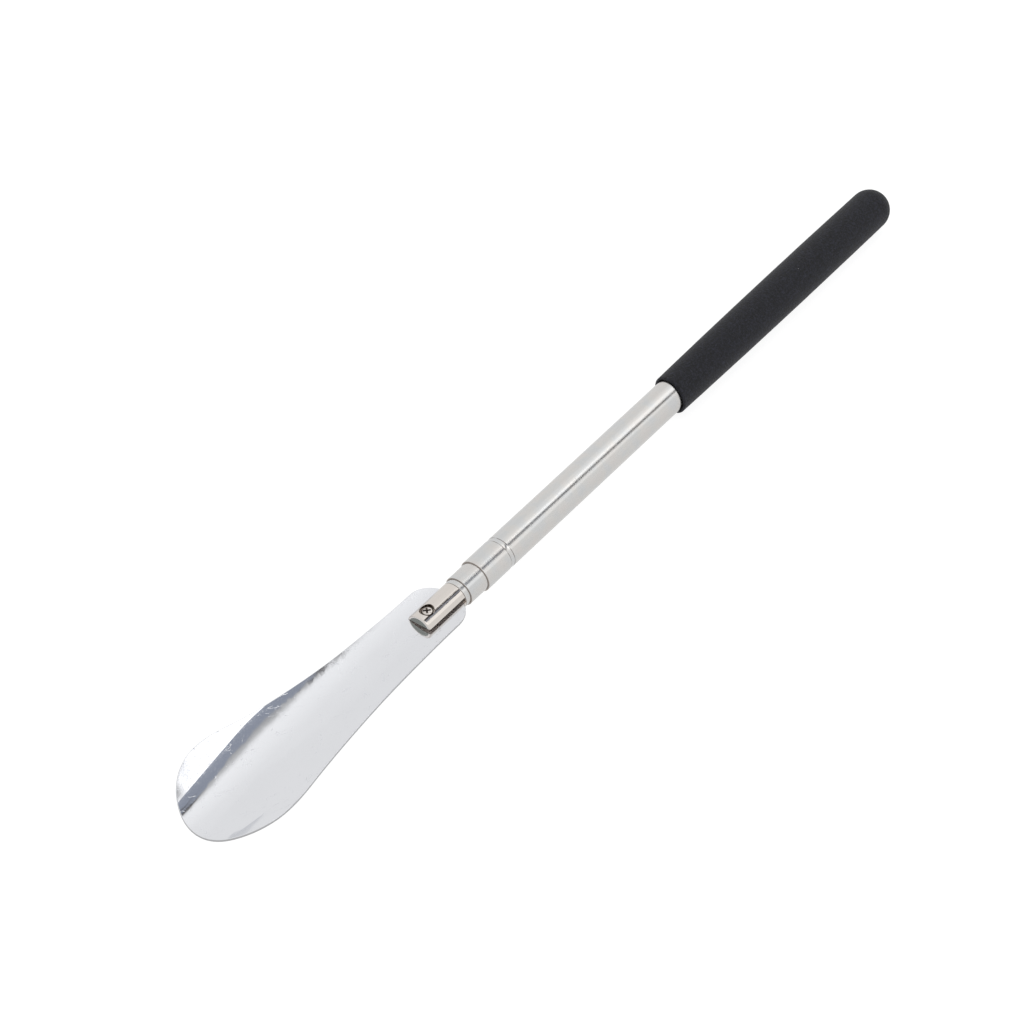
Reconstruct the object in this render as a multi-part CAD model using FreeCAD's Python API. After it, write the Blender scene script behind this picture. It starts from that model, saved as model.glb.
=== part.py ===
import FreeCAD, Part
import math
import os

# A long telescopic shoehorn, collapsed. All sizes are in millimetres.
# X runs along the pole from the blade's toe (-X) to the grip's end (+X). The blade's hollow faces up, +Z.
# Stations are measured from the toe. The pole's axis is horizontal and the grip rests on Z = 0.

# Overall stations along the pole
total_length = 408.4
connector_front = 114.3
screw_station = 119.1
inner_front = 133.9
middle_front = 136.2
outer_front = 145.3
grip_front = 261.3
outer_rear = 397.0

# Telescopic travel of each stage
middle_travel = 202.0
inner_travel = 188.5

# Tubes: outside radii and wall
outer_r = 6.5
middle_r = 5.95
inner_r = 5.4
tube_wall = 0.3
mouth_length = 1.2      # length over which each tube's mouth is rolled in
mouth_land = 0.5        # length of the mouth's smallest bore
mouth_edge_r = 0.2      # rounding of the mouth's outer edge
guide_reach = 13.8      # from a tube's mouth to the rolled groove that keeps its guide sleeve
sliding_gap = 0.04      # radial gap at a rolled lip or groove around the tube inside it
bush_gap = 0.05         # radial gap of a bush in the tube around it
ring_gap = 0.02         # radial gap of a friction ring in the tube around it
axial_gap = 0.05        # gap at each stop, so that stopped pieces don't touch

# Blade: pressed sheet trough
sheet = 1.0
trough_r = 33.0         # radius of the middle of the sheet behind the toe
toe_trough_r = 22.5     # the same at the toe's tip
wall_angle = 28.9       # steepest slope across the trough: past it, the wall is straight
dish_start = 42.0       # the trough gets tighter in front of this station
dish_power = 1.15       # how gradually it does so
toe_lift = 1.0          # rise of the trough's lowest line at the toe's tip
lift_start = 30.0       # the lowest line is straight behind this station
toe_twist = 3.0         # twist of the sheet at the toe, in degrees, with its far side up
twist_start = 100.0     # the sheet isn't twisted behind this station
toe_length = 23.5
toe_half_width = 20.25
side_points = [(40.5, 17.9), (60.5, 14.85), (82.5, 12.6), (102.5, 11.6)]
heel_half_width = 11.15
heel_length = 11.2
heel_end = 133.5
strip_half_width = 22.0
strip_overhang = 2.0    # the pressed strip is longer than the blade before it is cut to its outline
toe_sections = 9
heel_sections = 6
stamp_height = 40.0
outline_tolerance = 0.001
blade_hole_r = 1.55
sheet_edge_r = 0.2

# Connector: slotted rod
slot_floor = -0.17      # heights of the slot's two sides, from the pole's axis towards the screw's head
slot_roof = 1.97
slot_end = 133.65
clamp_roll = 5.5        # roll of the rod, in degrees, because the blade rocks in its wide slot
spigot_length = 14.0
spigot_chamfer = 0.5
rod_edge_r = 0.6
counterbore_r = 2.8
seat_height = 3.2       # height of the screw's seat above the pole's axis

# Screw: M2.5 pan head with a cross recess
screw_r = 1.25
screw_length = 8.0
screw_clearance_r = 1.4
head_r = 2.2
head_height = 1.75
head_edge_r = 0.85
recess_depth = 1.1
recess_reach = 1.45
recess_half_width = 0.36
recess_taper = 0.5      # size of the recess at its bottom, as a share of its size at the top
screw_chamfer = 0.4

# Rear bushes and friction rings
head_length = 16.0
middle_spigot = 6.4
inner_spigot = 6.0
ring_groove_start = 4.0
ring_groove_length = 8.0
ring_groove_depth = 0.9
ring_split = 1.2
ring_chamfer_length = 0.3
ring_chamfer_depth = 0.15
bush_spigot_chamfer = 0.3
bush_head_chamfer = 0.4
guide_split = 0.5
vent_r = 2.5
crimp_depth = 0.14
crimp_half_length = 1.1

# Base plug and stop pad
pad_thickness = 2.0
pad_r = 5.6
plug_flange = 1.5
plug_waist_r = 5.4
plug_land = 4.0
plug_bore_r = 3.0
plug_taper = 1.0        # length of the slope from a land down to the waist

# Grip sleeve: a very long barrel curve that ends in a dome
grip_r = 8.57
grip_widest = 360.2
grip_barrel_r = 6500.0
grip_lip_r = 1.2
grip_bore_end = outer_rear + plug_flange + 0.2

axis_height = grip_r
X_AXIS = FreeCAD.Vector(1, 0, 0)
Z_AXIS = FreeCAD.Vector(0, 0, 1)


def turned(start, *steps):
    """Solid of revolution about the pole's axis. A point is (station, radius).

    A step of two numbers is a straight line to that point, and a step of four numbers is an arc
    through its first point to its second.
    """
    edges = []
    here = FreeCAD.Vector(start[0], 0, start[1])
    for step in steps + (start,):
        end = FreeCAD.Vector(step[-2], 0, step[-1])
        if len(step) == 4:
            middle = FreeCAD.Vector(step[0], 0, step[1])
            edges.append(Part.Arc(here, middle, end).toShape())
        elif here.distanceToPoint(end) > 1e-6:
            edges.append(Part.LineSegment(here, end).toShape())
        here = end
    face = Part.Face(Part.Wire(edges))
    return face.revolve(FreeCAD.Vector(0, 0, 0), X_AXIS, 360)


def crimp_steps(station, radius, forward):
    """Steps of a rolled-in crimp at a station, walked towards +X (forward) or -X."""
    side = 1 if forward else -1
    near = (station - side * crimp_half_length, radius)
    far = (station + side * crimp_half_length, radius)
    return [near, (station, radius - crimp_depth) + far]


def tube(front, rear, radius, lip_bore_r, crimps):
    """Thin tube with a rolled-in mouth at its front and rolled crimps at the given stations."""
    bore_r = radius - tube_wall
    steps = [(front + mouth_land, lip_bore_r), (front + mouth_length, bore_r)]
    for station in crimps:
        steps += crimp_steps(station, bore_r, True)
    steps += [(rear, bore_r), (rear, radius)]
    for station in reversed(crimps):
        steps += crimp_steps(station, radius, False)
    corner = mouth_edge_r * (1 - math.sqrt(0.5))
    steps += [
        (front + mouth_edge_r, radius),
        (front + corner, radius - corner, front, radius - mouth_edge_r),
    ]
    return turned((front, lip_bore_r), *steps)


def rear_bush(head_front, spigot_length, tube_r, head_r_outside):
    """Bush whose spigot is crimped in a tube's rear end, with a head that carries a friction ring."""
    spigot_r = tube_r - tube_wall
    spigot_front = head_front - spigot_length
    head_rear = head_front + head_length
    groove_front = head_front + ring_groove_start
    groove_rear = groove_front + ring_groove_length
    groove_r = head_r_outside - ring_groove_depth
    steps = [(spigot_front, spigot_r - bush_spigot_chamfer), (spigot_front + bush_spigot_chamfer, spigot_r)]
    steps += crimp_steps(head_front - spigot_length / 2, spigot_r, True)
    steps += [
        (head_front, spigot_r),
        (head_front, head_r_outside),
        (groove_front, head_r_outside),
        (groove_front, groove_r),
        (groove_rear, groove_r),
        (groove_rear, head_r_outside),
        (head_rear - bush_head_chamfer, head_r_outside),
        (head_rear, head_r_outside - bush_head_chamfer),
        (head_rear, vent_r),
    ]
    return turned((spigot_front, vent_r), *steps)


def split_below(ring, width):
    """The ring with a slit of the given width along its lowest line."""
    box = ring.BoundBox
    corner = FreeCAD.Vector(box.XMin - 1, -width / 2, -box.ZLength)
    slit = Part.makeBox(box.XLength + 2, width, box.ZLength, corner)
    return ring.cut(slit)


def friction_ring(head_front, head_r_outside, bore_r):
    """Split ring that sits in a bush's groove and rubs on the bore around it."""
    front = head_front + ring_groove_start + axial_gap
    rear = front + ring_groove_length - 2 * axial_gap
    inside_r = head_r_outside - ring_groove_depth + bush_gap
    outside_r = bore_r - ring_gap
    edge_r = outside_r - ring_chamfer_depth
    ring = turned(
        (front, inside_r),
        (rear, inside_r),
        (rear, edge_r),
        (rear - ring_chamfer_length, outside_r),
        (front + ring_chamfer_length, outside_r),
        (front, edge_r),
    )
    return split_below(ring, ring_split)


def guide_sleeve(tube_front, bore_r, inside_r):
    """Thin rolled sleeve that lines a tube's mouth, kept between the rolled lip and the rolled groove."""
    front = tube_front + mouth_length + axial_gap
    rear = tube_front + guide_reach - crimp_half_length - axial_gap
    sleeve = turned((front, inside_r), (rear, inside_r), (rear, bore_r), (front, bore_r))
    return split_below(sleeve, guide_split)


def blade_outline():
    """Closed outline of the blade seen from above: elliptical toe, flared sides and rounded heel."""
    toe = Part.Ellipse(FreeCAD.Vector(toe_length, 0, 0), toe_length, toe_half_width)
    heel_start = heel_end - heel_length
    heel = Part.Ellipse(FreeCAD.Vector(heel_start, 0, 0), heel_length, heel_half_width)
    edges = [
        Part.ArcOfEllipse(toe, math.pi / 2, 3 * math.pi / 2).toShape(),
        Part.ArcOfEllipse(heel, -math.pi / 2, math.pi / 2).toShape(),
    ]
    for side in (1, -1):
        points = [(toe_length, toe_half_width)] + side_points + [(heel_start, heel_half_width)]
        flank = Part.BSplineCurve()
        flank.interpolate(Points=[FreeCAD.Vector(x, side * y, 0) for x, y in points],
                          InitialTangent=X_AXIS, FinalTangent=X_AXIS)
        edges.append(flank.toShape())
    return Part.Face(Part.Wire(Part.__sortEdges__(edges)))


def strip_section(station):
    """Closed outline across the pressed strip at a station: an arched sheet with straight walls."""
    dish = max(0, 1 - station / dish_start) ** dish_power
    lift = toe_lift * max(0, 1 - station / lift_start) ** 2
    middle_r = trough_r + (toe_trough_r - trough_r) * dish
    angle = math.radians(wall_angle)
    wall = (strip_half_width - middle_r * math.sin(angle)) / math.cos(angle)
    centre = FreeCAD.Vector(station, 0, lift + sheet / 2 + middle_r)
    edges = []
    for radius, side in ((middle_r + sheet / 2, 1), (middle_r - sheet / 2, -1)):
        start, middle, end = [
            centre + FreeCAD.Vector(0, radius * math.sin(turn), -radius * math.cos(turn))
            for turn in (-side * angle, 0, side * angle)
        ]
        rise = FreeCAD.Vector(0, 0, wall * math.sin(angle))
        reach = FreeCAD.Vector(0, side * wall * math.cos(angle), 0)
        if edges:
            edges.append(Part.LineSegment(edges[-1].lastVertex().Point, start - reach + rise).toShape())
        edges.append(Part.LineSegment(start - reach + rise, start).toShape())
        edges.append(Part.Arc(start, middle, end).toShape())
        edges.append(Part.LineSegment(end, end + reach + rise).toShape())
    edges.append(Part.LineSegment(edges[-1].lastVertex().Point, edges[0].firstVertex().Point).toShape())
    section = Part.Wire(edges)
    section.rotate(FreeCAD.Vector(0, 0, 0), X_AXIS, toe_twist * max(0, 1 - station / twist_start))
    return section


def make_blade():
    """Pressed trough, straight at the heel and dished like a spoon at the toe, cut to the outline."""
    front = -strip_overhang
    rear = heel_end + strip_overhang
    bends = [front + (dish_start - front) * step / toe_sections for step in range(toe_sections)]
    straights = [dish_start + (rear - dish_start) * step / heel_sections for step in range(heel_sections + 1)]
    strip = Part.makeLoft([strip_section(station) for station in bends + straights], True, False)
    outline = blade_outline()
    stamp = outline.extrude(Z_AXIS * stamp_height)
    stamp.translate(Z_AXIS * -stamp_height / 4)
    blade = strip.common(stamp)
    rim = [edge for edge in blade.Edges if is_rim(edge, outline.OuterWire)]
    blade = blade.makeFillet(sheet_edge_r, rim)
    hole = Part.makeCylinder(blade_hole_r, stamp_height, FreeCAD.Vector(screw_station, 0, -stamp_height / 4))
    return blade.cut(hole)


def is_rim(edge, outline):
    """True for an edge that runs along the blade's outline, seen from above, and isn't across the sheet."""
    middle = edge.valueAt((edge.FirstParameter + edge.LastParameter) / 2)
    below = Part.Vertex(middle.x, middle.y, 0)
    return edge.Length > 2 * sheet and outline.distToShape(below)[0] < outline_tolerance


def make_connector():
    """Rod with a slot for the blade, a seat for the screw and a spigot that is crimped in the inner tube."""
    spigot_r = inner_r - tube_wall
    rear = inner_front + spigot_length
    corner = rod_edge_r * (1 - math.sqrt(0.5))
    steps = [
        (connector_front, inner_r - rod_edge_r),
        (connector_front + corner, inner_r - corner, connector_front + rod_edge_r, inner_r),
        (inner_front, inner_r),
        (inner_front, spigot_r),
    ]
    steps += crimp_steps(inner_front + spigot_length / 2, spigot_r, True)
    steps += [(rear - spigot_chamfer, spigot_r), (rear, spigot_r - spigot_chamfer), (rear, 0)]
    rod = turned((connector_front, 0), *steps)
    slot = Part.makeBox(slot_end - connector_front + 1, 4 * inner_r, slot_roof - slot_floor,
                        FreeCAD.Vector(connector_front - 1, -2 * inner_r, slot_floor))
    seat = Part.makeCylinder(counterbore_r, inner_r, FreeCAD.Vector(screw_station, 0, seat_height))
    clearance = Part.makeCylinder(screw_clearance_r, inner_r, FreeCAD.Vector(screw_station, 0, slot_floor))
    tapped = Part.makeCylinder(screw_r, 2 * inner_r, FreeCAD.Vector(screw_station, 0, -1.5 * inner_r))
    return rolled(rod.cut(slot).cut(seat).cut(clearance).cut(tapped))


def rolled(shape):
    """The shape turned about the pole's axis, so that the slot's far side sits down on the blade."""
    shape.rotate(FreeCAD.Vector(0, 0, 0), X_AXIS, -clamp_roll)
    return shape


def cross_wire(reach, half_width, height):
    """Twelve-cornered cross, centred on the screw, at a height above the pole's axis."""
    corners = []
    for quarter in range(4):
        turn = FreeCAD.Rotation(Z_AXIS, 90 * quarter + 45)
        for x, y in ((half_width, half_width), (half_width, reach), (-half_width, reach)):
            corner = turn.multVec(FreeCAD.Vector(x, y, 0))
            corners.append(corner + FreeCAD.Vector(screw_station, 0, height))
    return Part.makePolygon(corners + corners[:1])


def make_screw():
    """Pan-head machine screw with a tapered cross recess."""
    top = seat_height + head_height
    bottom = seat_height - screw_length
    arc_middle = head_edge_r * (1 - math.sqrt(0.5))
    outline = [
        Part.LineSegment(FreeCAD.Vector(0, 0, top), FreeCAD.Vector(head_r - head_edge_r, 0, top)),
        Part.Arc(FreeCAD.Vector(head_r - head_edge_r, 0, top),
                 FreeCAD.Vector(head_r - arc_middle, 0, top - arc_middle),
                 FreeCAD.Vector(head_r, 0, top - head_edge_r)),
    ]
    corners = [(head_r, top - head_edge_r), (head_r, seat_height), (screw_r, seat_height),
               (screw_r, bottom + screw_chamfer), (screw_r - screw_chamfer, bottom), (0, bottom), (0, top)]
    for (x0, z0), (x1, z1) in zip(corners, corners[1:]):
        outline.append(Part.LineSegment(FreeCAD.Vector(x0, 0, z0), FreeCAD.Vector(x1, 0, z1)))
    face = Part.Face(Part.Wire([piece.toShape() for piece in outline]))
    screw = face.revolve(FreeCAD.Vector(0, 0, 0), Z_AXIS, 360)
    screw.translate(FreeCAD.Vector(screw_station, 0, 0))
    recess = Part.makeLoft([
        cross_wire(recess_reach, recess_half_width, top + 0.01),
        cross_wire(recess_taper * recess_reach, recess_taper * recess_half_width, top - recess_depth),
    ], True, True)
    return rolled(screw.cut(recess))


def make_base_plug(front):
    """Hollow plug with two lands in the outer tube and a flange over the tube's end."""
    bore_r = outer_r - tube_wall
    rear = outer_rear + plug_flange
    return turned(
        (front, 0),
        (front, bore_r),
        (front + plug_land, bore_r),
        (front + plug_land + plug_taper, plug_waist_r),
        (outer_rear - plug_land - plug_taper, plug_waist_r),
        (outer_rear - plug_land, bore_r),
        (outer_rear, bore_r),
        (outer_rear, outer_r),
        (rear, outer_r),
        (rear, plug_bore_r),
        (front + plug_land, plug_bore_r),
        (front + plug_land, 0),
    )


def grip_radius(station):
    """Radius of the grip's barrel curve at a station."""
    return grip_r - grip_barrel_r + math.sqrt(grip_barrel_r ** 2 - (station - grip_widest) ** 2)


def make_grip():
    """Foam sleeve with a rounded front lip, a slightly barrelled side and a domed, closed end."""
    lip_end = grip_front + grip_lip_r
    lip_r = grip_radius(lip_end)
    dome_r = grip_radius(total_length - grip_r)
    dome_start = total_length - dome_r
    corner = grip_lip_r * (1 - math.sqrt(0.5))
    halfway = dome_r * math.sqrt(0.5)
    return turned(
        (grip_front, outer_r),
        (grip_front, lip_r - grip_lip_r),
        (grip_front + corner, lip_r - corner, lip_end, lip_r),
        (grip_widest, grip_r, dome_start, dome_r),
        (dome_start + halfway, halfway, total_length, 0),
        (grip_bore_end, 0),
        (grip_bore_end, outer_r),
    )


middle_bore_r = middle_r - tube_wall
outer_bore_r = outer_r - tube_wall
middle_head_r = outer_bore_r - bush_gap
inner_head_r = middle_bore_r - bush_gap
outer_groove = outer_front + guide_reach
middle_groove = middle_front + guide_reach
middle_head_front = outer_groove + crimp_half_length + axial_gap + middle_travel
inner_head_front = middle_groove + crimp_half_length + axial_gap + inner_travel
pad_front = middle_head_front + head_length + axial_gap
plug_front = pad_front + pad_thickness
middle_crimp = middle_head_front - middle_spigot / 2
inner_rear_crimp = inner_head_front - inner_spigot / 2
inner_front_crimp = inner_front + spigot_length / 2

pieces = {
    "blade": make_blade(),
    "blade_connector": make_connector(),
    "blade_screw": make_screw(),
    "inner_tube": tube(inner_front, inner_head_front, inner_r, inner_r - tube_wall,
                       [inner_front_crimp, inner_rear_crimp]),
    "inner_rear_bush": rear_bush(inner_head_front, inner_spigot, inner_r, inner_head_r),
    "inner_friction_ring": friction_ring(inner_head_front, inner_head_r, middle_bore_r),
    "middle_tube": tube(middle_front, middle_head_front, middle_r, inner_r + sliding_gap,
                        [middle_groove, middle_crimp]),
    "middle_guide_sleeve": guide_sleeve(middle_front, middle_bore_r, inner_r + sliding_gap),
    "middle_rear_bush": rear_bush(middle_head_front, middle_spigot, middle_r, middle_head_r),
    "middle_friction_ring": friction_ring(middle_head_front, middle_head_r, outer_bore_r),
    "outer_tube": tube(outer_front, outer_rear, outer_r, middle_r + sliding_gap, [outer_groove]),
    "outer_guide_sleeve": guide_sleeve(outer_front, outer_bore_r, middle_r + sliding_gap),
    "stop_pad": turned((pad_front, 0), (pad_front, pad_r), (plug_front, pad_r), (plug_front, 0)),
    "base_plug": make_base_plug(plug_front),
    "grip_sleeve": make_grip(),
}

os.makedirs("parts", exist_ok=True)
for name, shape in pieces.items():
    shape.translate(FreeCAD.Vector(-total_length / 2, 0, axis_height))
    shape.exportStep("parts/" + name + ".step")
    print(name, len(shape.Solids), "solid", round(shape.Volume, 1), "mm3, valid:", shape.isValid())
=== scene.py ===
import math

import bpy
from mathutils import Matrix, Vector, noise


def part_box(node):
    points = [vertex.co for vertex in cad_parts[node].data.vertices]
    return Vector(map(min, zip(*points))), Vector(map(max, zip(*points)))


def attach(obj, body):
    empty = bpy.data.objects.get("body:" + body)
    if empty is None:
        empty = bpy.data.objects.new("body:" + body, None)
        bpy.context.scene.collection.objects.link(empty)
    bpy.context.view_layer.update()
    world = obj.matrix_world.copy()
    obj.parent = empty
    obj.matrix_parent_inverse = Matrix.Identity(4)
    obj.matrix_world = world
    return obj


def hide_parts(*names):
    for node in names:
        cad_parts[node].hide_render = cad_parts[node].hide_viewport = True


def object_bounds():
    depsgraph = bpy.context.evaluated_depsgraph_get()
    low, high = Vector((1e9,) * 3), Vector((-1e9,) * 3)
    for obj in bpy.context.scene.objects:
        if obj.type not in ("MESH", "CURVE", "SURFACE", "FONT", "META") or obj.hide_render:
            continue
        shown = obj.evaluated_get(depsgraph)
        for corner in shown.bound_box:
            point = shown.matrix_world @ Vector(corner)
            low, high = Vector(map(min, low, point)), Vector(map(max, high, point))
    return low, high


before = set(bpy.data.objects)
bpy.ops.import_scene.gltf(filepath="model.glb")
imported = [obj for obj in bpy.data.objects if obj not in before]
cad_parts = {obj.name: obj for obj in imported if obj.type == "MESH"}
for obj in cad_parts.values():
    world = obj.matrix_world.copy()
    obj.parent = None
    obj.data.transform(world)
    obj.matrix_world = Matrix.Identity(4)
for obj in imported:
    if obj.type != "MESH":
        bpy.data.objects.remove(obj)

# Looks of the long telescopic shoehorn. Lengths are in metres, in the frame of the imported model:
# X runs along the pole from the blade's toe (-X) to the grip's end (+X), and Z is up.
# Materials work in millimetres, from each piece's own coordinates.

CAD_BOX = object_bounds()
MM = 0.001


# ---------------------------------------------------------------- camera

CAMERA_AIM = Vector((-0.0357, 0.0017, 0.0215))
CAMERA_DISTANCE = 0.961
CAMERA_AZIMUTH = math.radians(-51.71)
CAMERA_ELEVATION = math.radians(46.6)
CAMERA_LENS_MM = 94.92
SENSOR_MM = 36.0


def make_camera():
    data = bpy.data.cameras.new("camera")
    data.lens = CAMERA_LENS_MM
    data.sensor_width = SENSOR_MM
    data.clip_start = 0.01
    data.clip_end = 50.0
    camera = bpy.data.objects.new("camera", data)
    bpy.context.scene.collection.objects.link(camera)
    backward = Vector((
        math.sin(CAMERA_AZIMUTH) * math.cos(CAMERA_ELEVATION),
        -math.cos(CAMERA_AZIMUTH) * math.cos(CAMERA_ELEVATION),
        math.sin(CAMERA_ELEVATION),
    ))
    camera.location = CAMERA_AIM + backward * CAMERA_DISTANCE
    camera.rotation_euler = backward.to_track_quat("Z", "Y").to_euler()
    bpy.context.scene.camera = camera


# ---------------------------------------------------------------- node helpers

SCRATCH_STRETCH = 12.0      # length of a scratch, as a multiple of the noise it is cut from


class Graph:
    """A node tree with short calls for adding and linking nodes."""

    def __init__(self, tree):
        self.tree = tree
        tree.nodes.clear()

    def feed(self, socket, value):
        if isinstance(value, bpy.types.NodeSocket):
            self.tree.links.new(value, socket)
        else:
            socket.default_value = value

    def add(self, kind, inputs=None, **settings):
        node = self.tree.nodes.new("ShaderNode" + kind)
        for name, value in settings.items():
            setattr(node, name, value)
        for name, value in (inputs or {}).items():
            self.feed(node.inputs[name], value)
        return node

    def math(self, operation, a, b=0.0, c=0.0):
        node = self.add("Math", operation=operation)
        for socket, value in zip(node.inputs, (a, b, c)):
            self.feed(socket, value)
        return node.outputs[0]

    def ramp(self, value, stops, low=0.0, high=1.0):
        """A colour ramp over low to high. stops is a list of (place, grey level or colour)."""
        span = high - low
        position = self.math("MULTIPLY_ADD", value, 1.0 / span, -low / span)
        node = self.add("ValToRGB", {"Fac": position})
        elements = node.color_ramp.elements
        while len(elements) < len(stops):
            elements.new(1.0)
        for element, (place, level) in zip(elements, stops):
            element.position = (place - low) / span
            colour = level if isinstance(level, tuple) else (level, level, level)
            element.color = colour + (1.0,)
        return node.outputs["Color"]

    def step(self, value, start, end):
        """A smooth step from 0 at start to 1 at end. start may be the larger one."""
        node = self.add("MapRange", {"Value": value, "From Min": start, "From Max": end},
                        interpolation_type="SMOOTHSTEP")
        return node.outputs["Result"]

    def mix(self, factor, a, b):
        """A mix of two colours, or of two grey levels."""
        node = self.add("Mix", data_type="RGBA")
        self.feed(node.inputs[0], factor)
        for socket, value in ((node.inputs[6], a), (node.inputs[7], b)):
            if isinstance(value, float):
                value = (value, value, value)
            if isinstance(value, tuple):
                value = value + (1.0,)
            self.feed(socket, value)
        return node.outputs[2]

    def split(self, vector):
        return self.add("SeparateXYZ", {"Vector": vector}).outputs

    def place(self, scale=(1.0, 1.0, 1.0)):
        """The piece's own coordinates in millimetres, times a scale along each axis."""
        own = self.add("TexCoord").outputs["Object"]
        factor = tuple(part / MM for part in scale)
        return self.add("VectorMath", {0: own, 1: factor}, operation="MULTIPLY").outputs["Vector"]

    def noise(self, scale, detail=2.0, roughness=0.5, stretch=(1.0, 1.0, 1.0)):
        """Noise with scale features per millimetre, and more or fewer of them along each axis by stretch."""
        return self.add("TexNoise", {
            "Vector": self.place(stretch),
            "Scale": scale,
            "Detail": detail,
            "Roughness": roughness,
        }).outputs["Fac"]

    def spots(self, spacing, size, share):
        """1 inside scattered round spots, 0 outside. spacing and size are in mm, share is how many stay."""
        cells = self.add("TexVoronoi", {"Vector": self.place(), "Scale": 1.0 / spacing})
        near = self.step(cells.outputs["Distance"], size / spacing, 0.5 * size / spacing)
        chosen = self.math("LESS_THAN", self.split(cells.outputs["Color"])[0], share)
        return self.math("MULTIPLY", near, chosen)

    def scratches(self, scale, width, turn, share):
        """1 on thin, nearly straight, broken scratches that run at an angle turn in the X-Y plane."""
        turned = self.add("VectorRotate", {"Vector": self.place(), "Angle": turn}, rotation_type="Z_AXIS")
        thin = self.add("VectorMath", {0: turned.outputs["Vector"], 1: (1.0 / SCRATCH_STRETCH, 1.0, 1.0)},
                        operation="MULTIPLY").outputs["Vector"]
        line = self.add("TexNoise", {"Vector": thin, "Scale": scale, "Detail": 1.0, "Distortion": 0.2})
        off_line = self.math("ABSOLUTE", self.math("SUBTRACT", line.outputs["Fac"], 0.5))
        on_line = self.step(off_line, width, 0.3 * width)
        kept = self.add("TexNoise", {"Vector": thin, "Scale": 0.6 * scale, "Detail": 2.0})
        return self.math("MULTIPLY", on_line, self.step(kept.outputs["Fac"], 1.0 - share, 1.04 - share))


def new_material(name, **inputs):
    """A material with one Principled shader. inputs are plain values, named with _ for each space."""
    material = bpy.data.materials.new(name)
    material.use_nodes = True
    graph = Graph(material.node_tree)
    shader = graph.add("BsdfPrincipled", {key.replace("_", " "): value for key, value in inputs.items()})
    output = graph.add("OutputMaterial")
    graph.feed(output.inputs["Surface"], shader.outputs[0])
    return material, graph, shader


def bump(graph, shader, height, depth_mm, below=None):
    """Links a bump of the given depth, on top of another one if below is given."""
    node = graph.add("Bump", {"Height": height, "Distance": depth_mm * MM})
    if below is not None:
        graph.feed(node.inputs["Normal"], below)
    graph.feed(shader.inputs["Normal"], node.outputs["Normal"])
    return node.outputs["Normal"]


# ---------------------------------------------------------------- studio

# A ceiling card over the handle's side of the object carries two softboxes with a dark flag between them.
# Its own X runs along the flag and its own Y across it. Light levels are 1 for white. The pattern changes
# along own X: each zone is (start, end of its blend in from the zone before, stops), and its stops are
# (place along own Y, level). It is matched to the bands that the blade, the connector and the tubes reflect.
CARD_HEIGHT = 1.0
CARD_TURN = math.radians(-26.0)
CARD_X = (0.10, 1.70)
CARD_Y = (-1.10, 1.15)
FLAG_SOFT = (0.33, 0.36, 0.43)
FLAG_DARK = (0.085, 0.08, 0.08)
FAR_BOX = ((-1.10, 0.95), (-0.90, 1.85), (-0.288, 1.85), (-0.280, FLAG_SOFT))
FAR_BOX_DIM = ((-1.10, 0.95), (-0.90, 1.22))
NEAR_BOX_SOFT = ((0.015, 0.98), (0.06, 1.12), (0.25, 1.06), (0.45, 0.99), (0.90, 0.97), (1.15, 0.95))
NEAR_BOX_EVEN = ((0.62, 1.38), (0.72, 0.98), (1.15, 0.95))
CARD_ZONES = (
    (0.10, 0.10, FAR_BOX + ((-0.18, FLAG_SOFT), (-0.10, 0.47), (-0.03, 0.66)) + NEAR_BOX_SOFT),
    (0.455, 0.475, FAR_BOX + (
        (-0.05, FLAG_SOFT), (-0.03, FLAG_DARK), (0.10, FLAG_DARK), (0.12, 1.20), (0.60, 1.08), (1.15, 0.95))),
    (0.54, 0.57, FAR_BOX + (
        (-0.13, FLAG_SOFT), (-0.10, FLAG_DARK), (0.03, FLAG_DARK), (0.04, 2.0), (0.16, 2.0),
        (0.30, 1.38), (0.72, 0.98), (1.15, 0.95))),
    (0.64, 0.65, FAR_BOX + (
        (-0.12, FLAG_SOFT), (-0.08, FLAG_DARK), (-0.018, FLAG_DARK), (-0.006, 1.8), (0.16, 1.8),
        (0.30, 1.38), (0.72, 0.98), (1.15, 0.95))),
    (0.76, 0.80, FAR_BOX_DIM + (
        (-0.345, 1.22), (-0.335, FLAG_DARK), (-0.018, FLAG_DARK), (-0.006, 1.42)) + NEAR_BOX_EVEN),
    (0.88, 0.90, FAR_BOX_DIM + (
        (-0.245, 1.22), (-0.230, FLAG_DARK), (-0.018, FLAG_DARK), (-0.006, 1.45),
        (0.62, 1.42), (0.68, 0.98), (1.15, 0.95))),
)
LIGHT_SCALE = 2.0           # the highest level that a zone may hold
ROOM_LEVEL = 0.95           # light level of the white room
FLOOR_HALF = 4.0            # m, from the floor's middle to its edge
FLOOR_GAP = 0.0002          # m, between the floor and the object's lowest point
FLOOR_GREY = 0.25           # how much of the light that falls on it the floor gives back
FLOOR_GLOW = 0.66           # light from the floor itself
FLOOR_EXTRA = 0.20          # what the camera sees more of it, as on an overexposed light table


def dimmed(level):
    """A light level as a ramp colour. A ramp holds levels up to 1, and the card's strength restores them."""
    colour = level if isinstance(level, tuple) else (level, level, level)
    return tuple(part / LIGHT_SCALE for part in colour)


def make_sheet(name, x_range, y_range, z):
    """A flat, level rectangle of the studio."""
    x0, x1 = x_range
    y0, y1 = y_range
    corners = [(x0, y0, 0.0), (x1, y0, 0.0), (x1, y1, 0.0), (x0, y1, 0.0)]
    mesh = bpy.data.meshes.new(name)
    mesh.from_pydata(corners, [], [(0, 1, 2, 3)])
    sheet = bpy.data.objects.new(name, mesh)
    sheet.location.z = z
    bpy.context.scene.collection.objects.link(sheet)
    return sheet


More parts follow.
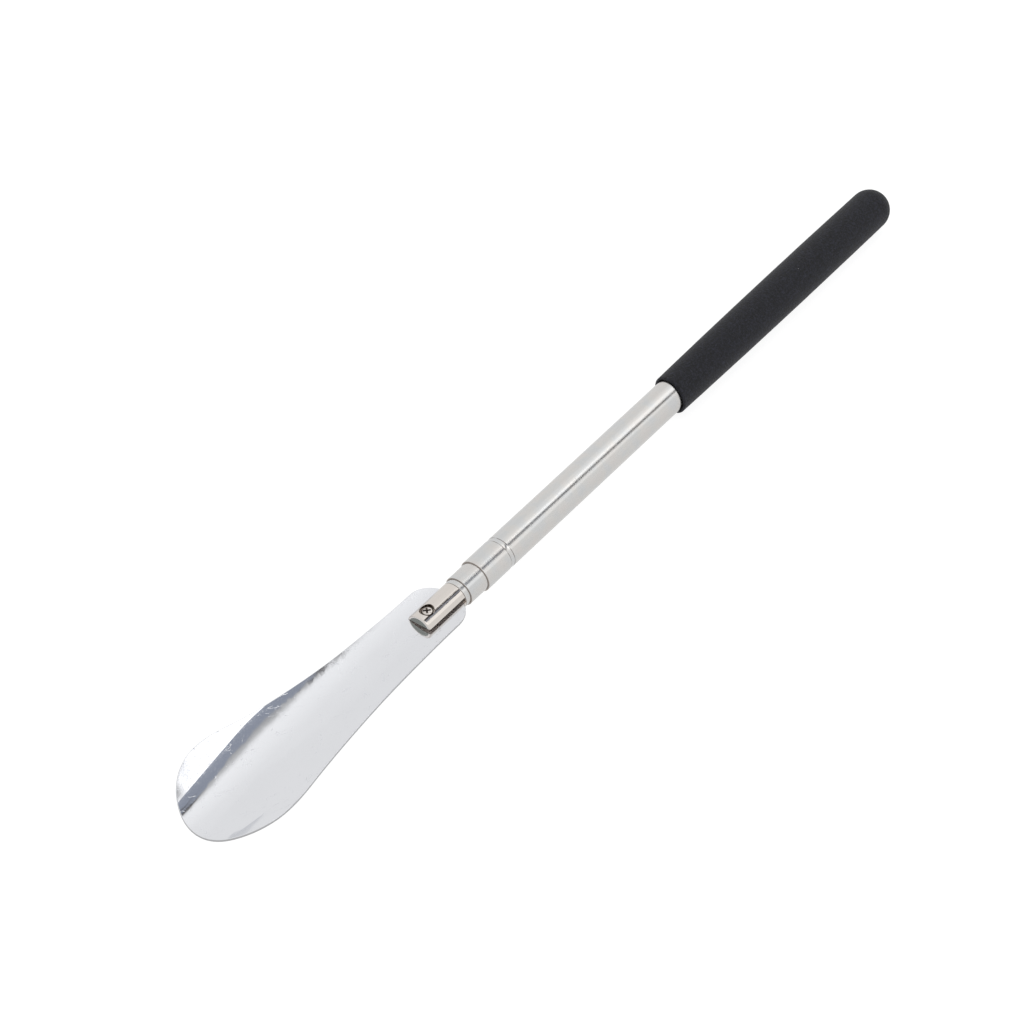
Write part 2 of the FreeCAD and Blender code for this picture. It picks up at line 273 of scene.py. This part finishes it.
def make_softboxes():
    card = make_sheet("softboxes", CARD_X, CARD_Y, CARD_HEIGHT)
    card.rotation_euler.z = CARD_TURN
    card.visible_camera = False
    card.visible_shadow = False
    material = bpy.data.materials.new("softbox_light")
    material.use_nodes = True
    graph = Graph(material.node_tree)
    along, across, _ = graph.split(graph.add("TexCoord").outputs["Object"])
    level = None
    for start, end, stops in CARD_ZONES:
        zone = graph.ramp(across, [(place, dimmed(light)) for place, light in stops], *CARD_Y)
        level = zone if level is None else graph.mix(graph.step(along, start, end), level, zone)
    light = graph.add("Emission", {"Color": level, "Strength": LIGHT_SCALE})
    output = graph.add("OutputMaterial")
    graph.feed(output.inputs["Surface"], light.outputs[0])
    card.data.materials.append(material)


def make_world():
    """An even white room. The camera itself sees plain white."""
    world = bpy.data.worlds.new("studio")
    world.use_nodes = True
    bpy.context.scene.world = world
    graph = Graph(world.node_tree)
    seen = graph.mix(graph.add("LightPath").outputs["Is Camera Ray"], ROOM_LEVEL, 1.0)
    background = graph.add("Background", {"Color": seen, "Strength": 1.0})
    output = graph.add("OutputWorld")
    graph.feed(output.inputs["Surface"], background.outputs[0])


def make_floor():
    """A white floor that gives light too, as a light table does."""
    reach = (-FLOOR_HALF, FLOOR_HALF)
    floor = make_sheet("floor", reach, reach, CAD_BOX[0][2] - FLOOR_GAP)
    material, graph, shader = new_material(
        "floor_paper",
        Base_Color=(FLOOR_GREY, FLOOR_GREY, FLOOR_GREY, 1.0),
        Roughness=0.9,
        Specular_IOR_Level=0.0,
        Emission_Color=(1.0, 1.0, 1.0, 1.0),
    )
    seen = graph.add("LightPath").outputs["Is Camera Ray"]
    graph.feed(shader.inputs["Emission Strength"], graph.math("MULTIPLY_ADD", seen, FLOOR_EXTRA, FLOOR_GLOW))
    floor.data.materials.append(material)


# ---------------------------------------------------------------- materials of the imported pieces

GROOVE_REACH = 13.8         # mm, from the outer tube's mouth to its rolled groove
GROOVE_HALF = 0.95          # mm, from the groove's middle to the line of painted shade along each of its edges
GROOVE_SHADE_LINE = (0.24, 0.06)  # mm off that line where the painted shade starts and where it is full
CUT_MOUTH_AND_GAP_SHADE = (0.10, 0.03)    # mm inside a tube's mouth where the dull cut edge, darkened as painted shade of the gap round the tube inside it, starts and where it is full
JOINT_LINE = (0.26, 0.10)   # mm before the joint with the inner tube, the same for the painted shade at the joint
RECESS_LINE = (0.12, 0.37)  # mm below the screw's top, the same for the painted shade in its recess
HIGHLIGHT_RIM_WIDTH = 0.85            # mm, painted highlight rim round the connector's dull front face, which is darkened as a painted reflection
HIGHLIGHT_RIM_SOFT = 0.15             # mm, half the width of the change between the two
SLOT_MIDDLE = 0.9           # mm, middle of the connector's slot above the pole's axis
SLOT_REACH = (2.6, 2.2)     # mm off that middle where the sawn sides, lightened with painted light, start and where they are full
FRONT_FACING = (-0.93, -0.995)  # X of the normal where a face starts to count as the front and counts fully
LEVEL_FACING = (0.96, 0.99)     # Z of the normal, the same for a level face
EDGE_FACING = (0.80, 0.55)      # Z of the normal, the same for the blade's sheared edge


def paint(node, material):
    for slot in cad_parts[node].material_slots:
        slot.material = material


def front_of(node):
    """The lowest X of a node in millimetres."""
    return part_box(node)[0][0] / MM


def top_of(node):
    """The highest Z of a node in millimetres."""
    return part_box(node)[1][2] / MM


def pole_axis():
    """The height of the pole's axis in metres."""
    low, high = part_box("outer_tube")
    return 0.5 * (low[2] + high[2])


def blade_steel():
    """Polished sheet steel with fine scratches, specks and a sheared, duller edge."""
    material, graph, shader = new_material("blade_steel", Metallic=1.0)
    facing = graph.math("ABSOLUTE", graph.split(graph.add("TexCoord").outputs["Normal"])[2])
    sheared = graph.step(facing, *EDGE_FACING)
    hairlines = graph.scratches(0.9, 0.014, 0.5, 0.42)
    crossed = graph.scratches(0.7, 0.012, -0.7, 0.40)
    dents = graph.spots(3.2, 0.30, 0.30)
    worn = graph.math("MAXIMUM", graph.math("MAXIMUM", hairlines, crossed), dents)
    haze = graph.noise(2.2, detail=4.0, roughness=0.75)
    polish = graph.math("MULTIPLY_ADD", graph.step(haze, 0.52, 0.72), 0.15, 0.070)
    rough = graph.math("MULTIPLY_ADD", worn, 0.30, polish)
    rough = graph.math("MULTIPLY_ADD", sheared, 0.22, rough)
    graph.feed(shader.inputs["Roughness"], rough)
    tone = graph.mix(graph.noise(0.06, detail=3.0), (0.722, 0.730, 0.752), (0.752, 0.760, 0.785))
    tone = graph.mix(graph.math("MULTIPLY", worn, 0.25), tone, (0.62, 0.63, 0.67))
    tone = graph.mix(sheared, tone, (0.44, 0.44, 0.45))
    graph.feed(shader.inputs["Base Color"], tone)
    waves = bump(graph, shader, graph.noise(0.10, detail=1.0), 0.05)
    bump(graph, shader, worn, -0.008, below=waves)
    return material


def drawn_steel(name, mouth, groove=None):
    """Satin drawn tube: fine lines along X, faint scuffs round it, uneven tints, a dull cut mouth darkened
    with painted shade of the gap, and patchy painted shade along a groove's edges.
    """
    material, graph, shader = new_material(name, Metallic=1.0)
    streaks = graph.noise(1.0, detail=3.0, stretch=(0.02, 3.0, 3.0))
    hairs = graph.noise(1.0, detail=2.0, stretch=(0.10, 9.0, 9.0))
    scuffs = graph.noise(1.0, detail=2.0, stretch=(2.6, 0.25, 0.25))
    tints = graph.noise(0.16, detail=3.0)
    along = graph.split(graph.place())[0]
    cut_and_gap_shade = graph.step(along, mouth + CUT_MOUTH_AND_GAP_SHADE[0], mouth + CUT_MOUTH_AND_GAP_SHADE[1])
    rough = graph.math("MULTIPLY_ADD", streaks, 0.16, 0.11)
    rough = graph.math("MULTIPLY_ADD", graph.step(scuffs, 0.55, 0.75), 0.06, rough)
    rough = graph.math("MULTIPLY_ADD", cut_and_gap_shade, 0.4, rough)
    graph.feed(shader.inputs["Roughness"], rough)
    tone = graph.ramp(tints, [(0.38, (0.655, 0.632, 0.612)), (0.50, (0.640, 0.632, 0.618)),
                              (0.62, (0.612, 0.620, 0.625))])
    tone = graph.mix(graph.math("MULTIPLY", streaks, 0.35), tone, (0.57, 0.56, 0.545))
    # The mouth's dull cut face is darkened as painted shade of the gap round the tube inside it.
    tone = graph.mix(cut_and_gap_shade, tone, (0.46, 0.42, 0.39))
    if groove is not None:
        # Patchy painted shade along the creases at both edges of the rolled groove.
        off_edge = graph.math("ABSOLUTE", graph.math("SUBTRACT", along, groove))
        off_edge = graph.math("ABSOLUTE", graph.math("SUBTRACT", off_edge, GROOVE_HALF))
        patches = graph.noise(0.25, detail=3.0)
        painted_shade = graph.math("MULTIPLY", graph.step(off_edge, *GROOVE_SHADE_LINE), graph.step(patches, 0.36, 0.56))
        tone = graph.mix(painted_shade, tone, (0.27, 0.25, 0.24))
    graph.feed(shader.inputs["Base Color"], tone)
    lines = bump(graph, shader, hairs, 0.004)
    bump(graph, shader, scuffs, 0.004, below=lines)
    return material


def bright_nickel(name):
    """Bright warm plating with faint turning marks, blotches and pits, without its painted shade.

    Returns the material, its graph and shader, its tone and its roughness.
    """
    material, graph, shader = new_material(name, Metallic=1.0)
    turning = graph.noise(1.0, detail=2.0, stretch=(7.0, 0.2, 0.2))
    blotches = graph.noise(0.5, detail=4.0, roughness=0.6)
    pits = graph.spots(0.9, 0.12, 0.25)
    rough = graph.math("MULTIPLY_ADD", graph.step(blotches, 0.45, 0.75), 0.10, 0.045)
    rough = graph.math("MULTIPLY_ADD", pits, 0.25, rough)
    tone = graph.mix(blotches, (0.66, 0.615, 0.575), (0.70, 0.66, 0.62))
    tone = graph.mix(graph.math("MULTIPLY", pits, 0.4), tone, (0.38, 0.34, 0.31))
    marks = bump(graph, shader, turning, 0.0025)
    bump(graph, shader, blotches, 0.012, below=marks)
    return material, graph, shader, tone, rough


def add_painted_shade(graph, shader, tone, rough, painted_shade):
    """Gives the shader its tone and roughness, darkened with painted shade and dulled where the shade mask is
    1.
    """
    graph.feed(shader.inputs["Base Color"], graph.mix(painted_shade, tone, (0.11, 0.09, 0.075)))
    graph.feed(shader.inputs["Roughness"], graph.math("MULTIPLY_ADD", painted_shade, 0.3, rough))


def connector_chrome():
    """A plated rod with painted shade at its joint, a dull front face painted with a dark reflection inside a
    painted highlight rim, and a sawn slot whose matt sides are lightened with painted light.
    """
    material, graph, shader, tone, rough = bright_nickel("connector_chrome")
    axis = pole_axis() / MM
    radius = top_of("blade_connector") - axis
    joint = front_of("inner_tube")
    along, side, height = graph.split(graph.place())
    facing_x, _, facing_z = graph.split(graph.add("TexCoord").outputs["Normal"])

    end_face = graph.step(facing_x, *FRONT_FACING)
    lift = graph.math("SUBTRACT", height, axis)
    off_axis = graph.math("SQRT", graph.math("MULTIPLY_ADD", side, side, graph.math("MULTIPLY", lift, lift)))
    # A painted highlight ring for the rounded rim, round a front face darkened as a painted dark reflection.
    highlight_rim = graph.step(off_axis, radius - HIGHLIGHT_RIM_WIDTH - HIGHLIGHT_RIM_SOFT, radius - HIGHLIGHT_RIM_WIDTH + HIGHLIGHT_RIM_SOFT)
    end_face_painted_tone = graph.mix(highlight_rim, (0.25, 0.265, 0.245), (0.95, 0.90, 0.86))
    tone = graph.mix(end_face, tone, end_face_painted_tone)
    rough = graph.math("MULTIPLY_ADD", end_face, 0.20, rough)

    off_slot = graph.math("ABSOLUTE", graph.math("SUBTRACT", height, axis + SLOT_MIDDLE))
    level_side = graph.step(graph.math("ABSOLUTE", facing_z), *LEVEL_FACING)
    # Matt sawn sides of the slot, lightened with painted light inside the slot.
    sawn_and_lightened = graph.math("MULTIPLY", level_side, graph.step(off_slot, *SLOT_REACH))
    tone = graph.mix(sawn_and_lightened, tone, (0.78, 0.70, 0.64))
    rough = graph.math("MULTIPLY_ADD", sawn_and_lightened, 0.7, rough)

    # Painted shade where the rod meets the inner tube.
    painted_shade = graph.step(along, joint - JOINT_LINE[0], joint - JOINT_LINE[1])
    add_painted_shade(graph, shader, tone, rough, painted_shade)
    return material


def screw_steel():
    """The plating of the screw, with painted shade in its cross recess and round its head."""
    material, graph, shader, tone, rough = bright_nickel("screw_steel")
    top = top_of("blade_screw")
    height = graph.split(graph.place())[2]
    # Painted shade below the screw's top face, in its recess and round its head.
    painted_shade = graph.step(height, top - RECESS_LINE[0], top - RECESS_LINE[1])
    add_painted_shade(graph, shader, tone, rough, painted_shade)
    return material


def turned_brass(name, light, dark):
    """Turned brass: fine rings round the pole's axis and a little tarnish."""
    material, graph, shader = new_material(name, Metallic=1.0)
    rings = graph.noise(1.0, detail=2.0, stretch=(9.0, 0.1, 0.1))
    tarnish = graph.noise(0.35, detail=4.0)
    graph.feed(shader.inputs["Base Color"], graph.mix(graph.step(tarnish, 0.35, 0.75), light, dark))
    graph.feed(shader.inputs["Roughness"], graph.math("MULTIPLY_ADD", tarnish, 0.25, 0.15))
    bump(graph, shader, rings, 0.006)
    return material


def moulded_plastic(name, light, dark):
    """Moulded plastic with a fine, matt skin."""
    material, graph, shader = new_material(name)
    skin = graph.noise(5.0, detail=3.0)
    clouds = graph.noise(0.3, detail=2.0)
    graph.feed(shader.inputs["Base Color"], graph.mix(clouds, light, dark))
    graph.feed(shader.inputs["Roughness"], graph.math("MULTIPLY_ADD", skin, 0.2, 0.38))
    bump(graph, shader, skin, 0.012)
    return material


def pad_rubber():
    """Dark rubber with a fine cut grain."""
    material, graph, shader = new_material("pad_rubber")
    grain = graph.noise(4.0, detail=4.0, roughness=0.7)
    graph.feed(shader.inputs["Base Color"], graph.mix(grain, (0.018, 0.018, 0.018), (0.05, 0.048, 0.045)))
    graph.feed(shader.inputs["Roughness"], graph.math("MULTIPLY_ADD", grain, 0.2, 0.65))
    bump(graph, shader, grain, 0.05)
    return material


def foam_skin():
    """Black foam with a fine open grain, small pores and a few specks of dust."""
    material, graph, shader = new_material(
        "grip_foam",
        Specular_IOR_Level=0.28,
        Sheen_Weight=0.03,
        Sheen_Roughness=0.45,
    )
    grain = graph.noise(1.15, detail=4.0, roughness=0.8)
    pores = graph.spots(0.75, 0.30, 0.6)
    clouds = graph.noise(0.09, detail=2.0)
    dust = graph.spots(7.0, 0.22, 0.10)
    tone = graph.mix(graph.step(grain, 0.42, 0.68), (0.0002, 0.0002, 0.0010), (0.021, 0.0225, 0.036))
    tone = graph.mix(graph.math("MULTIPLY", clouds, 0.30), tone, (0.008, 0.009, 0.015))
    tone = graph.mix(pores, tone, (0.0025, 0.0025, 0.003))
    tone = graph.mix(dust, tone, (0.22, 0.22, 0.23))
    graph.feed(shader.inputs["Base Color"], tone)
    graph.feed(shader.inputs["Roughness"], graph.math("MULTIPLY_ADD", grain, 0.25, 0.48))
    grained = bump(graph, shader, grain, 0.20)
    bump(graph, shader, pores, -0.08, below=grained)
    return material


def paint_packed_pieces():
    paint("blade", blade_steel())
    paint("blade_connector", connector_chrome())
    paint("blade_screw", screw_steel())
    for node in ("inner_tube", "middle_tube", "outer_tube"):
        mouth = front_of(node)
        groove = mouth + GROOVE_REACH if node == "outer_tube" else None
        paint(node, drawn_steel(node + "_steel", mouth, groove))
    for node in ("middle_guide_sleeve", "outer_guide_sleeve"):
        paint(node, turned_brass(node + "_brass", (0.80, 0.62, 0.33), (0.62, 0.44, 0.20)))
    for node in ("inner_rear_bush", "middle_rear_bush"):
        paint(node, turned_brass(node + "_brass", (0.78, 0.58, 0.30), (0.55, 0.38, 0.17)))
    for node in ("inner_friction_ring", "middle_friction_ring"):
        paint(node, moulded_plastic(node + "_plastic", (0.72, 0.71, 0.67), (0.64, 0.62, 0.57)))
    paint("base_plug", moulded_plastic("plug_plastic", (0.030, 0.030, 0.032), (0.045, 0.045, 0.047)))
    paint("stop_pad", pad_rubber())


# ---------------------------------------------------------------- grip

GRIP_TURNS = 144            # points round the grip
GRIP_SPACING = 0.55         # mm between its rings
GRIP_LIP = 0.8              # mm, rounding of the front lip
GRIP_SLANT = 0.125          # slope of the front end, which is cut a little askew
GRIP_SLANT_LENGTH = 30.0    # mm, length over which the rings turn square again
GRIP_LIP_STEPS = 8          # steps round the lip
GRIP_MOUTH = 0.9            # mm, depth of the flare inside the lip
GRIP_MOUTH_GAP = 0.30       # mm, flare's gap around the tube at the front
GRIP_TUCK = 2.7             # mm, how far the skin runs back along the tube inside the mouth
GRIP_GRAIN = 0.035          # mm, depth of the grain in the surface itself
GRIP_GRAIN_SCALE = 1.1      # features per mm
GRIP_SWELL = 0.05           # mm, depth of the slow unevenness of the foam
GRIP_SWELL_SCALE = 0.11     # features per mm
GRIP_LIP_SHARE = 0.3        # share of both at the lip's outer edge, from full at its inner edge
GRIP_SKIN = 0.02            # mm, the whole surface's step inside the CAD solid
GRIP_BARREL = 6500.0        # mm, radius of its barrel curve
GRIP_WIDEST = 0.675         # place of the widest ring, as a share of the length


def grip_profile(front, rear, widest_r, tube_r):
    """Points (x, radius, share of the unevenness) from inside the mouth, over the lip, to the dome's tip."""
    widest_x = front + GRIP_WIDEST * (rear - front)

    def barrel(x):
        return widest_r - GRIP_BARREL + math.sqrt(GRIP_BARREL ** 2 - (x - widest_x) ** 2)

    points = [
        (front + GRIP_TUCK, tube_r, 0.0),
        (front + GRIP_MOUTH, tube_r, 0.0),
        (front + 0.9 * GRIP_MOUTH, tube_r + GRIP_MOUTH_GAP, 0.0),
    ]
    lip_centre_r = barrel(front + GRIP_LIP) - GRIP_LIP
    for step in range(GRIP_LIP_STEPS, -1, -1):
        inward = step / GRIP_LIP_STEPS
        angle = math.radians(90.0 * inward)
        x = front + GRIP_LIP * (1 - math.sin(angle))
        share = GRIP_LIP_SHARE + (1.0 - GRIP_LIP_SHARE) * inward
        points.append((x, lip_centre_r + GRIP_LIP * math.cos(angle), share))
    dome_r = barrel(rear - widest_r)
    dome_x = rear - dome_r
    rings = round((dome_x - front - GRIP_LIP) / GRIP_SPACING)
    for ring in range(1, rings):
        x = front + GRIP_LIP + (dome_x - front - GRIP_LIP) * ring / rings
        points.append((x, barrel(x), 1.0))
    arcs = round(dome_r * math.pi / 2 / GRIP_SPACING)
    for arc in range(arcs):
        angle = math.pi / 2 * arc / arcs
        points.append((dome_x + dome_r * math.sin(angle), dome_r * math.cos(angle), 1.0))
    return points


def grip_point(x, radius, share, turn, front, widest_r):
    """A point of the grip's skin, pushed in by the foam's grain and slow unevenness. The end is slanted."""
    out = Vector((0.0, math.sin(turn), math.cos(turn)))
    fade = max(0.0, 1.0 - (x - front) / GRIP_SLANT_LENGTH)
    x += fade * GRIP_SLANT * (out.y * radius + widest_r)
    place = Vector((x, 0.0, 0.0)) + out * radius
    grain = 0.5 + 0.5 * noise.noise(place * GRIP_GRAIN_SCALE)
    swell = 0.5 + 0.5 * noise.noise(place * GRIP_SWELL_SCALE)
    depth = GRIP_SKIN + share * (GRIP_GRAIN * grain + GRIP_SWELL * swell)
    return Vector((x, 0.0, 0.0)) + out * (radius - depth)


def grip_faces(rings, tip):
    """Quads between neighbouring rings of points, and triangles from the last ring to the point tip."""
    faces = []
    for ring in range(rings - 1):
        for step in range(GRIP_TURNS):
            a = ring * GRIP_TURNS + step
            b = ring * GRIP_TURNS + (step + 1) % GRIP_TURNS
            faces.append((a, a + GRIP_TURNS, b + GRIP_TURNS, b))
    last = (rings - 1) * GRIP_TURNS
    for step in range(GRIP_TURNS):
        faces.append((last + step, tip, last + (step + 1) % GRIP_TURNS))
    return faces


def make_grip():
    low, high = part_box("grip_sleeve")
    front, tip = low[0] / MM, high[0] / MM
    widest_r = 0.5 * (high[1] - low[1]) / MM
    axis_z = pole_axis()
    tube_r = top_of("outer_tube") - axis_z / MM
    profile = grip_profile(front, tip, widest_r, tube_r)
    points = []
    for x, radius, share in profile:
        for step in range(GRIP_TURNS):
            turn = 2 * math.pi * step / GRIP_TURNS
            points.append(grip_point(x, radius, share, turn, front, widest_r))
    faces = grip_faces(len(profile), len(points))
    points.append(Vector((tip - GRIP_SKIN, 0.0, 0.0)))
    vertices = [point * MM + Vector((0.0, 0.0, axis_z)) for point in points]
    mesh = bpy.data.meshes.new("foam_grip")
    mesh.from_pydata(vertices, [], faces)
    mesh.update()
    mesh.shade_smooth()
    mesh.materials.append(foam_skin())
    grip = bpy.data.objects.new("foam_grip", mesh)
    bpy.context.scene.collection.objects.link(grip)
    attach(grip, "handle")
    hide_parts("grip_sleeve")


bpy.context.scene.view_settings.view_transform = "Standard"
make_camera()
make_world()
make_floor()
make_softboxes()
paint_packed_pieces()
make_grip()
